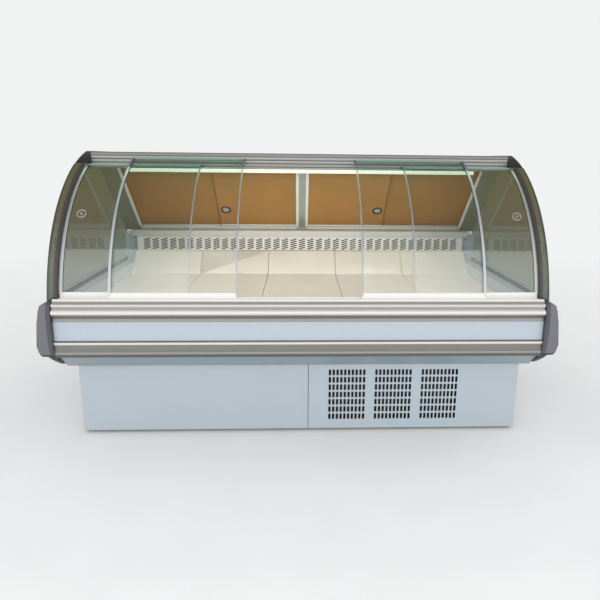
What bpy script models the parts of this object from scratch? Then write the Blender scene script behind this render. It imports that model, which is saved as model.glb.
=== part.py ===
"""Curved-glass refrigerated dipping cabinet, built as an assembly of separate named pieces.

Metres, +Z up, origin on the floor under the middle of the cabinet. The customer side faces -Y.
Depths are given as d, measured backwards from the face of the front bumper panel, so Y = FRONT_Y + d.
The rear doors stand in a leaning frame, whose own axes are X, n (out of the frame, backwards) and
s (up the slope).
"""

from math import asin, cos, pi, radians, sin, tau

import bmesh
import bpy

# ---------------------------------------------------------------- driving dimensions
FRONT_Y = -0.522
BODY_HALF = 0.970
END_HALF = 1.0345
FIT = 0.0003

TUB_FRONT = 0.012
TUB_REAR = 0.985
TUB_BOTTOM = 0.310
TUB_RIM = 0.600
TUB_REAR_RIM = 0.740
WALL = 0.060
CAVITY_HALF = 0.915
CAVITY_FLOOR = 0.368

BASE_HALF = 0.930
BASE_FRONT = 0.100
BASE_REAR = 0.955
SKIRT_GAP = 0.012
SKIRT_TOP = 0.3085
SHEET = 0.0015
PANEL_SEAM = 0.025
PAN_BOTTOM = 0.030
PAN_TOP = 0.033

# The front glass curves about one line that runs along X, a little tighter towards its top.
ARC_D = 0.720
ARC_Z = 0.515
ARC_R = 0.711
ARC_TAPER = 0.0118
ARC_STEPS = 16
PANE_PITCH = 0.013
END_GLASS_PROUD = 0.006
GLASS = 0.006
PANE_FOOT = 0.638
OUTER_PANE_TOP = 1.155
INNER_PANE_TOP = 1.126
EDGE_WIDE = 0.010
EDGE_NARROW = 0.005
TRACK_HALF = 0.950
PANE_WIDTH = 0.498
PANE_LEFT_EDGES = {"inner_left": -0.948, "outer_left": -0.758, "outer_right": 0.236, "inner_right": 0.450}

DECK_Z = 0.545
DECK_REAR = 0.800
PAN_COUNT = 5
PAN_SHEET = 0.0012

CANOPY_FRONT = 0.462
CANOPY_BOTTOM = 1.118
CANOPY_TOP = 1.180
CANOPY_REAR = 0.705
LIP_FRONT = 0.417
LIP_BOTTOM = 1.1105
CAP_BOTTOM = 1.128
POST_DEPTH = 0.016
LAMP_D = 0.545
LAMP_Z = 1.0985
LAMP_RADIUS = 0.008
LAMP_LENGTH = 1.640

REAR_D = 0.950
REAR_Z = 0.781
REAR_LEAN = radians(43.3)
REAR_RISE = 0.445
REAR_HALF = 0.902
REAR_DEPTH = 0.045
DOOR_THICK = 0.005
DOOR_INNER_N = 0.0085
DOOR_OUTER_N = 0.0235
DOOR_MEETING = 0.439
DOOR_LAP = 0.018
DOOR_FOOT = -0.006
DOOR_HEAD = 0.451
MULLION_HALF = 0.0185
TRIM_WIDTH = 0.014
TRIM_DEPTH = 0.006

GRILLE_BLOCKS = (0.110, 0.309, 0.509)
GRILLE_ROWS = 7
GRILLE_COLUMNS = 10
SLOT_PITCH_X = 0.0163
SLOT_PITCH_Z = 0.0338
SLOT_WIDTH = 0.0098
SLOT_HEIGHT = 0.0255
GRILLE_Z = 0.054

AIR_COLUMNS = 37
AIR_PITCH = 0.0475
AIR_WIDTH = 0.034
AIR_BOTTOM = 0.662
AIR_TOP = 0.727
LEDGE_FOOT = 0.7335
SWITCHES = {"lamp_switch": 0.690, "power_switch": 0.730}
SWITCH_TILT = radians(7)

# ---------------------------------------------------------------- scene and helpers
for old in list(bpy.data.objects):
    bpy.data.objects.remove(old)

PARTS = bpy.data.collections.new("dipping_cabinet")
CUTTERS = bpy.data.collections.new("cutters")
bpy.context.scene.collection.children.link(PARTS)
bpy.context.scene.collection.children.link(CUTTERS)

PROFILE_TURN = (pi / 2, 0, pi / 2)


def material(name, rgb, roughness, metallic=0.0, alpha=1.0):
    made = bpy.data.materials.new(name)
    made.use_nodes = True
    shader = made.node_tree.nodes["Principled BSDF"]
    shader.inputs["Base Color"].default_value = (*rgb, 1.0)
    shader.inputs["Roughness"].default_value = roughness
    shader.inputs["Metallic"].default_value = metallic
    shader.inputs["Alpha"].default_value = alpha
    return made


ALUMINIUM = material("aluminium", (0.72, 0.71, 0.69), 0.30, 1.0)
STEEL = material("stainless_steel", (0.74, 0.73, 0.70), 0.28, 1.0)
PAINT = material("painted_steel", (0.52, 0.58, 0.63), 0.40)
BUMPER_BLUE = material("bumper_panel", (0.60, 0.67, 0.75), 0.30)
GREY_ABS = material("grey_abs", (0.20, 0.20, 0.22), 0.50)
BLACK_ABS = material("black_abs", (0.02, 0.02, 0.022), 0.45)
GLAZING = material("glass", (0.80, 0.92, 0.86), 0.03, 0.0, 0.3)
CLEAR_EDGE = material("edge_strip", (0.62, 0.66, 0.66), 0.35)
WHITE_PVC = material("white_pvc", (0.72, 0.73, 0.70), 0.45)
DOOR_BROWN = material("door_brown", (0.30, 0.17, 0.06), 0.60)
LAMP = material("lamp", (0.95, 0.97, 0.95), 0.40)
FIN = material("coil_fins", (0.60, 0.62, 0.63), 0.45, 1.0)
DARK_PAINT = material("dark_paint", (0.03, 0.03, 0.03), 0.45)
ZINC = material("zinc", (0.55, 0.56, 0.56), 0.35, 1.0)


def add(name, data, look, location=(0, 0, 0), rotation=(0, 0, 0), parent=None, kept=PARTS):
    made = bpy.data.objects.new(name, data)
    made.location = location
    made.rotation_euler = rotation
    made.parent = parent
    if look is not None:
        data.materials.append(look)
    kept.objects.link(made)
    return made


def box(name, xs, ds, zs, look, parent=None, kept=PARTS):
    """A block between two corners. With a parent, ds and zs are the parent's n and s."""
    sizes = [hi - lo for lo, hi in (xs, ds, zs)]
    middle = [(hi + lo) / 2 for lo, hi in (xs, ds, zs)]
    if parent is None:
        middle[1] += FRONT_Y
    shape = bmesh.new()
    bmesh.ops.create_cube(shape, size=1.0)
    bmesh.ops.scale(shape, vec=sizes, verts=shape.verts)
    data = bpy.data.meshes.new(name)
    shape.to_mesh(data)
    shape.free()
    return add(name, data, look, middle, parent=parent, kept=kept)


def cylinder(name, centre, radius, length, turn, look, segments=24, top_radius=None, parent=None, kept=PARTS):
    """A closed cylinder or cone about its own Z, turned by the Euler angles turn."""
    shape = bmesh.new()
    bmesh.ops.create_cone(
        shape,
        cap_ends=True,
        segments=segments,
        radius1=radius,
        radius2=radius if top_radius is None else top_radius,
        depth=length,
    )
    data = bpy.data.meshes.new(name)
    shape.to_mesh(data)
    shape.free()
    data.shade_smooth()
    data.set_sharp_from_angle(angle=radians(35))
    place = list(centre)
    if parent is None:
        place[1] += FRONT_Y
    return add(name, data, look, place, turn, parent, kept)


def outline(name, points, xs, look, parent=None, kept=PARTS):
    """A flat outline in (d, z), or (n, s) on a parent, extruded along X."""
    data = bpy.data.curves.new(name, "CURVE")
    data.dimensions = "2D"
    data.fill_mode = "BOTH"
    data.extrude = (xs[1] - xs[0]) / 2
    line = data.splines.new("POLY")
    line.points.add(len(points) - 1)
    for point, (first, second) in zip(line.points, points):
        point.co = (first, second, 0, 1)
    line.use_cyclic_u = True
    middle = ((xs[0] + xs[1]) / 2, 0 if parent else FRONT_Y, 0)
    return add(name, data, look, middle, PROFILE_TURN, parent, kept)


def across(name, points, ds):
    """A cutter: a flat outline in (x, z), extruded along Y."""
    data = bpy.data.curves.new(name, "CURVE")
    data.dimensions = "2D"
    data.fill_mode = "BOTH"
    data.extrude = (ds[1] - ds[0]) / 2
    line = data.splines.new("POLY")
    line.points.add(len(points) - 1)
    for point, (x, z) in zip(line.points, points):
        point.co = (x, z, 0, 1)
    line.use_cyclic_u = True
    curve = add(name + "_curve", data, None, (0, FRONT_Y + (ds[0] + ds[1]) / 2, 0), (pi / 2, 0, 0))
    return joined(name, [curve], None, CUTTERS)


def sheet(name, line, xs, thickness, look):
    """A folded sheet: an open line in (d, z) carried along X and given its thickness."""
    shape = bmesh.new()
    rows = [[shape.verts.new((x, FRONT_Y + d, z)) for x in xs] for d, z in line]
    for low, high in zip(rows, rows[1:]):
        shape.faces.new((low[0], low[1], high[1], high[0]))
    data = bpy.data.meshes.new(name)
    shape.to_mesh(data)
    shape.free()
    made = add(name, data, look)
    skin = made.modifiers.new("sheet", "SOLIDIFY")
    skin.thickness = thickness
    skin.offset = 0
    skin.use_even_offset = True
    return made


def turned(name, profile, centre, turn, look, segments=20, parent=None):
    """A turned piece about its own Z: a profile of (radius, height), top to bottom, swept round."""
    data = bpy.data.meshes.new(name)
    points = [(r, 0, h) for r, h in profile]
    data.from_pydata(points, [(i, i + 1) for i in range(len(points) - 1)], [])
    place = list(centre)
    if parent is None:
        place[1] += FRONT_Y
    made = add(name, data, look, place, turn, parent)
    spin = made.modifiers.new("turn", "SCREW")
    spin.angle = tau
    spin.steps = segments
    spin.render_steps = segments
    spin.use_merge_vertices = True
    spin.merge_threshold = 0.00005
    spin.use_smooth_shade = True
    return made


def as_mesh(source):
    """The object's evaluated shape as a mesh in world space."""
    bpy.context.view_layer.update()
    graph = bpy.context.evaluated_depsgraph_get()
    data = bpy.data.meshes.new_from_object(source.evaluated_get(graph))
    data.transform(source.matrix_world)
    shape = bmesh.new()
    shape.from_mesh(data)
    bmesh.ops.remove_doubles(shape, verts=shape.verts, dist=0.00001)
    shape.to_mesh(data)
    shape.free()
    return data


def joined(name, sources, look, kept=PARTS):
    """Several shapes as one mesh, used for curves that become meshes and for sets of cutters."""
    shape = bmesh.new()
    for source in sources:
        shape.from_mesh(as_mesh(source))
    data = bpy.data.meshes.new(name)
    shape.to_mesh(data)
    shape.free()
    for source in sources:
        bpy.data.objects.remove(source)
    data.materials.clear()
    made = add(name, data, look, kept=kept)
    for face in data.polygons:
        face.material_index = 0
    return made


def meshed(source):
    """Turns a curve object into a mesh object of the same name, so that it can be cut or bevelled."""
    name, look = source.name, source.data.materials[0]
    source.name = name + "_curve"
    return joined(name, [source], look)


def boolean(target, tool, operation):
    tool.hide_render = True
    tool.display_type = "WIRE"
    step = target.modifiers.new(operation.lower(), "BOOLEAN")
    step.operation = operation
    step.object = tool
    return step


def united(body, *extras):
    """One solid from pieces that run into each other: the extras are kept as hidden tools."""
    for extra in extras:
        PARTS.objects.unlink(extra)
        CUTTERS.objects.link(extra)
        boolean(body, extra, "UNION")
    return body


def bevel(target, width, segments=2):
    edge = target.modifiers.new("edges", "BEVEL")
    edge.width = width
    edge.segments = segments
    edge.limit_method = "ANGLE"
    edge.angle_limit = radians(40)
    return edge


def arc_angle(proud, z):
    """The angle at which the glass's curve, moved outwards by proud, reaches the height z."""
    angle = 0.0
    for _ in range(20):
        angle = asin((z - ARC_Z) / (ARC_R + proud - ARC_TAPER * angle))
    return angle


def arc_points(proud, angles):
    radii = [ARC_R + proud - ARC_TAPER * angle for angle in angles]
    return [(ARC_D - r * cos(a), ARC_Z + r * sin(a)) for r, a in zip(radii, angles)]


def arc_span(proud, low_z, high_z):
    low, high = arc_angle(proud, low_z), arc_angle(proud, high_z)
    return [low + (high - low) * i / ARC_STEPS for i in range(ARC_STEPS + 1)]


def arc_bar(proud, thickness, low_z, high_z):
    """The closed outline of a curved bar or pane whose outer face is the glass's curve moved by proud."""
    angles = arc_span(proud, low_z, high_z)
    return arc_points(proud, angles) + arc_points(proud - thickness, angles)[::-1]


def sides(name, half_from, half_to, make):
    """The same piece at each end of the cabinet: make(name, xs)."""
    return [
        make(name + "_left", (-half_to, -half_from)),
        make(name + "_right", (half_from, half_to)),
    ]


# ---------------------------------------------------------------- insulated tub and its lining
def tub():
    outside = [
        (TUB_FRONT, TUB_RIM),
        (TUB_FRONT, 0.385),
        (0.090, TUB_BOTTOM),
        (TUB_REAR, TUB_BOTTOM),
        (TUB_REAR, TUB_REAR_RIM),
        (TUB_REAR - 0.055, TUB_REAR_RIM),
        (TUB_REAR - 0.055, TUB_RIM),
    ]
    inner_front = TUB_FRONT + WALL
    inner_rear = TUB_REAR - 0.055
    hollow = [
        (inner_front, 0.80),
        (inner_front, 0.410),
        (inner_front + 0.043, CAVITY_FLOOR),
        (inner_rear, CAVITY_FLOOR),
        (inner_rear, 0.80),
    ]
    body = meshed(outline("insulated_tub", outside, (-BODY_HALF, BODY_HALF), PAINT))
    core = outline("cavity", hollow, (-CAVITY_HALF, CAVITY_HALF), None)
    cavity = joined("tub_cavity", [core], None, CUTTERS)
    boolean(body, cavity, "DIFFERENCE")

    skin = 0.0010
    reach = skin / 2 + FIT
    lining = [
        (inner_front + reach, TUB_RIM - 0.002),
        (inner_front + reach, 0.410 + reach * 0.4),
        (inner_front + 0.043 + reach * 0.4, CAVITY_FLOOR + reach),
        (inner_rear - reach, CAVITY_FLOOR + reach),
        (inner_rear - reach, TUB_REAR_RIM - 0.002),
    ]
    sheet("inner_liner", lining, (-CAVITY_HALF + 0.001, CAVITY_HALF - 0.001), skin, STEEL)


def deck():
    pitch = 2 * CAVITY_HALF / PAN_COUNT
    line = [(0.0765, DECK_Z - 0.022), (0.0765, DECK_Z), (DECK_REAR, DECK_Z), (0.9035, 0.6545)]
    for i in range(PAN_COUNT):
        left = -CAVITY_HALF + pitch * i
        sheet(f"deck_pan_{i + 1}", line, (left + 0.001, left + pitch - 0.001), PAN_SHEET, STEEL)

    plate = box("air_grille", (-0.905, 0.905), (0.9080, 0.9120), (0.6570, LEDGE_FOOT - FIT), WHITE_PVC)
    windows = []
    for i in range(AIR_COLUMNS):
        x = (i - (AIR_COLUMNS - 1) / 2) * AIR_PITCH
        span = (x - AIR_WIDTH / 2, x + AIR_WIDTH / 2)
        windows.append(box(f"window_{i}", span, (0.900, 0.920), (AIR_BOTTOM, AIR_TOP), None))
    boolean(plate, joined("air_windows", windows, None, CUTTERS), "DIFFERENCE")

    ledge = [
        (0.9000, LEDGE_FOOT),
        (0.9275, LEDGE_FOOT),
        (0.9275, 0.7420),
        (0.9420, 0.7570),
        (0.9420, 0.7670),
        (0.9040, 0.7670),
        (0.9000, 0.7630),
    ]
    outline("rear_ledge", ledge, (-0.930, 0.930), ALUMINIUM)
    top = [
        (0.9430, 0.7403),
        (1.0600, 0.7403),
        (1.0660, 0.7440),
        (1.0660, 0.7535),
        (1.0600, 0.7570),
        (0.9430, 0.7570),
    ]
    outline("service_worktop", top, (-0.966, 0.966), STEEL)


# ---------------------------------------------------------------- bumper and end mouldings
def bumper():
    back = TUB_FRONT - 0.0005
    upper = [
        (0.0165, 0.6165),
        (0.0065, 0.6165),
        (0.0050, 0.6150),
        (0.0050, 0.6060),
        (0.0020, 0.6030),
        (-0.0060, 0.6010),
        (-0.0090, 0.5985),
        (-0.0095, 0.5930),
        (-0.0080, 0.5885),
        (-0.0060, 0.5870),
        (-0.0060, 0.5785),
        (-0.0120, 0.5762),
        (-0.0170, 0.5722),
        (-0.0185, 0.5675),
        (-0.0170, 0.5615),
        (-0.0120, 0.5545),
        (-0.0060, 0.5465),
        (-0.0030, 0.5410),
        (-0.0030, 0.5290),
        (-0.0010, 0.5275),
        (back, 0.5275),
        (back, TUB_RIM + FIT),
        (0.0165, TUB_RIM + FIT),
    ]
    lower = [
        (back, 0.4490),
        (-0.0030, 0.4490),
        (-0.0070, 0.4465),
        (-0.0080, 0.4410),
        (-0.0065, 0.4350),
        (-0.0030, 0.4335),
        (-0.0030, 0.4030),
        (-0.0048, 0.4010),
        (-0.0048, 0.3960),
        (-0.0030, 0.3940),
        (0.0005, 0.3800),
        (back, 0.3800),
    ]
    span = (-BODY_HALF, BODY_HALF)
    outline("bumper_upper_rail", upper, span, ALUMINIUM)
    outline("bumper_lower_rail", lower, span, ALUMINIUM)
    box("bumper_panel", span, (0.0, 0.0035), (0.4495, 0.5270), BUMPER_BLUE)


def end_mouldings():
    shape = [
        (0.0150, 0.6090),
        (-0.0080, 0.6010),
        (-0.0180, 0.5600),
        (-0.0220, 0.5000),
        (-0.0190, 0.4400),
        (-0.0080, 0.3950),
        (0.0300, 0.3520),
        (0.0850, 0.3180),
        (0.1400, 0.3110),
        (1.0000, 0.3110),
        (1.0300, 0.3250),
        (1.0450, 0.3600),
        (1.0450, 0.5900),
        (1.0300, 0.6090),
    ]

    inner = BODY_HALF + FIT
    section = [
        (inner - 0.01, 0.6500),
        (0.9860, 0.6500),
        (0.9900, 0.6085),
        (1.0110, 0.5940),
        (1.0200, 0.5560),
        (1.0250, 0.5040),
        (1.0310, 0.4450),
        (END_HALF, 0.4080),
        (1.0290, 0.3840),
        (1.0060, 0.3790),
        (0.9900, 0.3500),
        (0.9860, 0.2800),
        (inner - 0.01, 0.2800),
    ]
    for hand, side in (("left", -1), ("right", 1)):
        xs = sorted((side * inner, side * (END_HALF + 0.01)))
        made = meshed(outline(f"end_moulding_{hand}", shape, xs, GREY_ABS))
        bulge = across(f"moulding_bulge_{hand}", [(side * x, z) for x, z in section], (-0.05, 1.10))
        boolean(made, bulge, "INTERSECT")
        bevel(made, 0.006)


# ---------------------------------------------------------------- front glass
def front_track():
    """A base with three fins, which stand either side of the outer and the inner pane's feet."""
    low, floor, top = TUB_RIM + FIT, 0.6030, 0.6170
    fins = ((0.0170, 0.0190), (0.0307, 0.0322), (0.0438, 0.0458))
    shape = [(fins[0][0], low), (fins[2][1], low)]
    for near, far in reversed(fins):
        shape += [(far, top), (near, top)] if far == fins[2][1] else [(far, floor), (far, top), (near, top)]
        if near != fins[0][0]:
            shape.append((near, floor))
    outline("front_glass_track", shape, (-TRACK_HALF, TRACK_HALF), ALUMINIUM)


def pane(name, left, outer_track):
    """A curved sliding pane: the glass, and a frame of foot bar, two edge strips and two top glides."""
    right = left + PANE_WIDTH
    proud = 0.0 if outer_track else -PANE_PITCH
    top = OUTER_PANE_TOP if outer_track else INNER_PANE_TOP
    left_edge, right_edge = (EDGE_WIDE, EDGE_NARROW) if left < 0 else (EDGE_NARROW, EDGE_WIDE)
    span = (left + left_edge + FIT, right - right_edge - FIT)
    outline(f"pane_{name}_glass", arc_bar(proud, GLASS, PANE_FOOT, top), span, GLAZING)

    lap = 0.0015
    strip = arc_bar(proud + lap, GLASS + 2 * lap, PANE_FOOT - 0.012, top)
    foot_d = (0.0200, 0.0298) if outer_track else (0.0332, 0.0430)
    frame = box(f"pane_{name}_frame", (left, right), foot_d, (0.6036, PANE_FOOT - 0.0012), ALUMINIUM)
    glide_d = (0.4250, 0.4612) if outer_track else (0.4020, 0.4612)
    glide_z = (1.1430, 1.1500) if outer_track else (1.1186, 1.1246)
    extras = []
    for low, high in ((left, left + left_edge), (right - right_edge, right)):
        extras.append(meshed(outline(name + "_strip", strip, (low + 0.00005, high - 0.00005), CLEAR_EDGE)))
        extras.append(box(name + "_glide", (low + 0.0001, high - 0.0001), glide_d, glide_z, BLACK_ABS))
    united(frame, *extras)


def front_glass():
    front_track()
    for name, left in PANE_LEFT_EDGES.items():
        pane(name, left, name.startswith("outer"))


def end_glass():
    front = arc_points(END_GLASS_PROUD, arc_span(END_GLASS_PROUD, 0.6095, CAP_BOTTOM - FIT))
    shape = front + [(0.6650, CAP_BOTTOM - FIT), (0.9850, 0.7950), (0.9850, 0.6095)]
    sides("end_glass", 0.981, 0.989, lambda name, xs: outline(name, shape, xs, GLAZING))


# ---------------------------------------------------------------- canopy and lamp
def end_frames():
    """At each end, a black post along the glass's curve, which runs up into the canopy's end cap."""
    post = arc_bar(0.003, POST_DEPTH, 0.6220, CAP_BOTTOM + 0.010)
    crown = arc_points(0.0, arc_span(0.0, CAP_BOTTOM, 1.187))
    cap = crown + [
        (0.7000, 1.1870),
        (0.7150, 1.1770),
        (0.7150, 1.1650),
        (0.6500, 1.1650),
        (0.6120, CAP_BOTTOM),
    ]
    for hand, side in (("left", -1), ("right", 1)):
        cap_xs = sorted((side * (TRACK_HALF + FIT), side * 0.992))
        post_xs = sorted((side * 0.953, side * 0.965))
        frame = meshed(outline(f"end_frame_{hand}", cap, cap_xs, BLACK_ABS))
        united(frame, meshed(outline(f"end_post_{hand}", post, post_xs, BLACK_ABS)))


def canopy():
    ribs = 4
    rib_pitch = (CANOPY_TOP - CANOPY_BOTTOM) / ribs
    front = [(LIP_FRONT, LIP_BOTTOM), (LIP_FRONT, CANOPY_BOTTOM)]
    for i in range(ribs):
        low = CANOPY_BOTTOM + rib_pitch * i
        front += [
            (CANOPY_FRONT + 0.0025, low),
            (CANOPY_FRONT, low + 0.0020),
            (CANOPY_FRONT, low + rib_pitch - 0.0030),
            (CANOPY_FRONT + 0.0025, low + rib_pitch - 0.0010),
        ]
    back = CANOPY_FRONT + 0.012
    shape = front + [(back, CANOPY_TOP), (back, LIP_BOTTOM)]
    outline("canopy_front_rail", shape, (-TRACK_HALF, TRACK_HALF), ALUMINIUM)
    inner = back + 0.0014
    fold = [
        (0.6180, CANOPY_BOTTOM + 0.001),
        (inner, CANOPY_BOTTOM + 0.001),
        (inner, CANOPY_TOP - 0.001),
        (CANOPY_REAR, CANOPY_TOP - 0.001),
        (CANOPY_REAR, 1.1450),
    ]
    sheet("canopy_cover", fold, (-TRACK_HALF, TRACK_HALF), 0.0015, PAINT)
    housing = [(0.5180, 1.1175), (0.5200, 1.1070), (0.5700, 1.1070), (0.5720, 1.1175)]
    outline("lamp_housing", housing, (-0.830, 0.830), WHITE_PVC)
    cylinder("lamp_tube", (0, LAMP_D, LAMP_Z), LAMP_RADIUS, LAMP_LENGTH, (0, pi / 2, 0), LAMP, 16)


# ---------------------------------------------------------------- rear frame and sliding doors
def track(edge, tip, outside):
    """Two channels for the doors, open at tip, with edge as their floor; outside closes the outline."""
    lips = ((0.0, 0.006), (0.0165, 0.0205), (0.0315, REAR_DEPTH))
    shape = []
    for near, far in lips:
        shape += [(near, edge), (near, tip), (far, tip), (far, edge)]
    return shape[1:-1] + outside


def rear_frame(axes):
    """The leaning frame: its foot stands on the worktop, and its head reaches up under the canopy cover."""
    span = (-REAR_HALF + FIT, REAR_HALF - FIT)
    foot = [(REAR_DEPTH, -0.030), (0.0225, -0.0535), (0.0, -0.0320)]
    head = [(REAR_DEPTH, 0.4975), (0.0328, 0.5090), (0.0, 0.4750)]
    outline("rear_track_bottom", track(-0.0080, 0.0, foot), span, ALUMINIUM, axes)
    outline("rear_track_top", track(REAR_RISE + 0.0080, REAR_RISE, head), span, ALUMINIUM, axes)

    within = (FIT, REAR_RISE - FIT)
    lap = 0.001
    mullion = box("rear_mullion", (-MULLION_HALF, MULLION_HALF), (0, REAR_DEPTH), within, ALUMINIUM, axes)
    for side in (-1, 1):
        trim = sorted((side * (MULLION_HALF - lap), side * (MULLION_HALF + TRIM_WIDTH)))
        trim_n, trim_s = (0.0005, TRIM_DEPTH), (within[0] + lap, within[1] - lap)
        united(mullion, box("mullion_trim", trim, trim_n, trim_s, WHITE_PVC, axes))
        post = sorted((side * REAR_HALF, side * 0.9785))
        hand = "left" if side < 0 else "right"
        jamb = box(f"rear_jamb_{hand}", post, (0, REAR_DEPTH), (-0.030, REAR_RISE + 0.030), ALUMINIUM, axes)
        trim = sorted((side * (REAR_HALF + lap), side * (REAR_HALF - TRIM_WIDTH)))
        united(jamb, box("jamb_trim", trim, trim_n, trim_s, WHITE_PVC, axes))


def rear_doors(axes):
    """Two doors in each half: the ones next to the mullion run on the inner track."""
    start = MULLION_HALF + 0.001
    end = REAR_HALF - 0.001
    half_s = (DOOR_FOOT + DOOR_HEAD) / 2
    pull_s = 0.135
    for side, hand in ((-1, "left"), (1, "right")):
        inner = sorted((side * start, side * (DOOR_MEETING + DOOR_LAP / 2)))
        outer = sorted((side * (DOOR_MEETING - DOOR_LAP / 2), side * end))
        inner_n = (DOOR_INNER_N, DOOR_INNER_N + DOOR_THICK)
        outer_n = (DOOR_OUTER_N, DOOR_OUTER_N + DOOR_THICK)
        door = box(f"rear_door_inner_{hand}", inner, inner_n, (DOOR_FOOT, DOOR_HEAD), DOOR_BROWN, axes)
        far_door = box(f"rear_door_outer_{hand}", outer, outer_n, (DOOR_FOOT, DOOR_HEAD), DOOR_BROWN, axes)
        pull_x = side * (DOOR_MEETING + DOOR_LAP / 2 - 0.038)
        hole = cylinder(
            f"pull_hole_{hand}",
            (pull_x, inner_n[0], pull_s),
            0.0225,
            0.03,
            (pi / 2, 0, 0),
            None,
            24,
            None,
            axes,
            CUTTERS,
        )
        boolean(door, hole, "DIFFERENCE")
        cup = [
            (0.0, 0.0028),
            (0.0180, 0.0028),
            (0.0190, 0.0078),
            (0.0265, 0.0078),
            (0.0275, 0.0060),
            (0.0275, 0.0052),
            (0.0220, 0.0052),
            (0.0220, 0.0002),
            (0.0, 0.0002),
        ]
        turned(f"pull_inner_{hand}", cup, (pull_x, inner_n[1], pull_s), (pi / 2, 0, 0), ZINC, 24, axes)
        knob = [(0.0, 0.0130), (0.0140, 0.0130), (0.0165, 0.0110), (0.0165, 0.0), (0.0, 0.0)]
        place = (side * (end - 0.040), outer_n[1] - 0.001, half_s)
        united(far_door, turned(f"pull_outer_{hand}", knob, place, (-pi / 2, 0, 0), ZINC, 20, axes))


# ---------------------------------------------------------------- base
def base_panels():
    heights = (SKIRT_GAP, SKIRT_TOP)
    depths = (BASE_FRONT, BASE_FRONT + SHEET)
    box("base_front_panel", (-BASE_HALF, PANEL_SEAM - 0.0012), depths, heights, PAINT)
    grille = box("base_grille_panel", (PANEL_SEAM + 0.0012, BASE_HALF), depths, heights, PAINT)
    slots = []
    for block in GRILLE_BLOCKS:
        for column in range(GRILLE_COLUMNS):
            for row in range(GRILLE_ROWS):
                x = block + column * SLOT_PITCH_X
                z = GRILLE_Z + row * SLOT_PITCH_Z
                through = (BASE_FRONT - 0.01, BASE_FRONT + 0.01)
                slots.append(box("slot", (x, x + SLOT_WIDTH), through, (z, z + SLOT_HEIGHT), None))
    boolean(grille, joined("grille_slots", slots, None, CUTTERS), "DIFFERENCE")

    inside = (BASE_FRONT + SHEET + FIT, BASE_REAR - SHEET - FIT)
    box("base_side_left", (-BASE_HALF, -BASE_HALF + SHEET), inside, heights, PAINT)
    box("base_side_right", (BASE_HALF - SHEET, BASE_HALF), inside, heights, PAINT)

    rear = box("base_rear_panel", (-BASE_HALF, BASE_HALF), (BASE_REAR - SHEET, BASE_REAR), heights, PAINT)
    vents = []
    vent_rows = 8
    for side in (-1, 1):
        for row in range(vent_rows):
            z = 0.080 + row * 0.022
            xs = sorted((side * 0.250, side * 0.800))
            vents.append(box("vent", xs, (BASE_REAR - 0.01, BASE_REAR + 0.01), (z, z + 0.008), None))
    boolean(rear, joined("rear_vents", vents, None, CUTTERS), "DIFFERENCE")
    nose = [(0.0, 0.030), (0.0070, 0.030), (0.0090, 0.024), (0.0110, 0.010)]
    gland = nose + [(0.0160, 0.008), (0.0160, 0.0), (0.0, 0.0)]
    place = (0.860, BASE_REAR - 0.0005, 0.060)
    united(rear, turned("cable_gland", gland, place, (-pi / 2, 0, 0), BLACK_ABS, 16))


def base_pan():
    """The floor of the base, with six feet that stand below the skirt's lower edge."""
    inner_x = BASE_HALF - SHEET - 0.001
    front, rear = BASE_FRONT + SHEET + 0.001, BASE_REAR - SHEET - 0.001
    pan = box("base_pan", (-inner_x, inner_x), (front, rear), (PAN_BOTTOM, PAN_TOP), ZINC)
    inset = 0.060
    stem = [(0.0, PAN_BOTTOM + 0.001), (0.0080, PAN_BOTTOM + 0.001), (0.0080, 0.0100)]
    foot = stem + [(0.0200, 0.0080), (0.0220, 0.0), (0.0, 0.0)]
    for x in (-inner_x + inset, 0.0, inner_x - inset):
        for d in (front + inset, rear - inset):
            united(pan, turned("foot", foot, (x, d, 0), (0, 0, 0), BLACK_ABS, 16))


# ---------------------------------------------------------------- refrigeration
def fan(name, centre, radius, hub_radius, blades, thickness, look):
    """A flat star outline for the blades, turned so that it spins about Y."""
    points = []
    steps = 5
    for blade in range(blades):
        start = tau * blade / blades
        for step in range(steps):
            angle = start + tau / blades * 0.62 * step / (steps - 1)
            points.append((radius * cos(angle), radius * sin(angle)))
        for step in range(2):
            angle = start + tau / blades * (0.72 + 0.18 * step)
            points.append((hub_radius * cos(angle), hub_radius * sin(angle)))
    data = bpy.data.curves.new(name, "CURVE")
    data.dimensions = "2D"
    data.fill_mode = "BOTH"
    data.extrude = thickness / 2
    line = data.splines.new("POLY")
    line.points.add(len(points) - 1)
    for point, (x, y) in zip(line.points, points):
        point.co = (x, y, 0, 1)
    line.use_cyclic_u = True
    return add(name, data, look, (centre[0], FRONT_Y + centre[1], centre[2]), (pi / 2, 0, 0))


def holed_plate(name, xs, ds, zs, holes, look):
    """A plate across Y with round holes: holes is a list of (x, z, radius)."""
    plate = box(name, xs, ds, zs, look)
    middle = (ds[0] + ds[1]) / 2
    for number, (x, z, radius) in enumerate(holes):
        hole = f"{name}_hole_{number}"
        drill = cylinder(hole, (x, middle, z), radius, 0.05, (pi / 2, 0, 0), None, 24, None, None, CUTTERS)
        boolean(plate, drill, "DIFFERENCE")
    return plate


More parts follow.
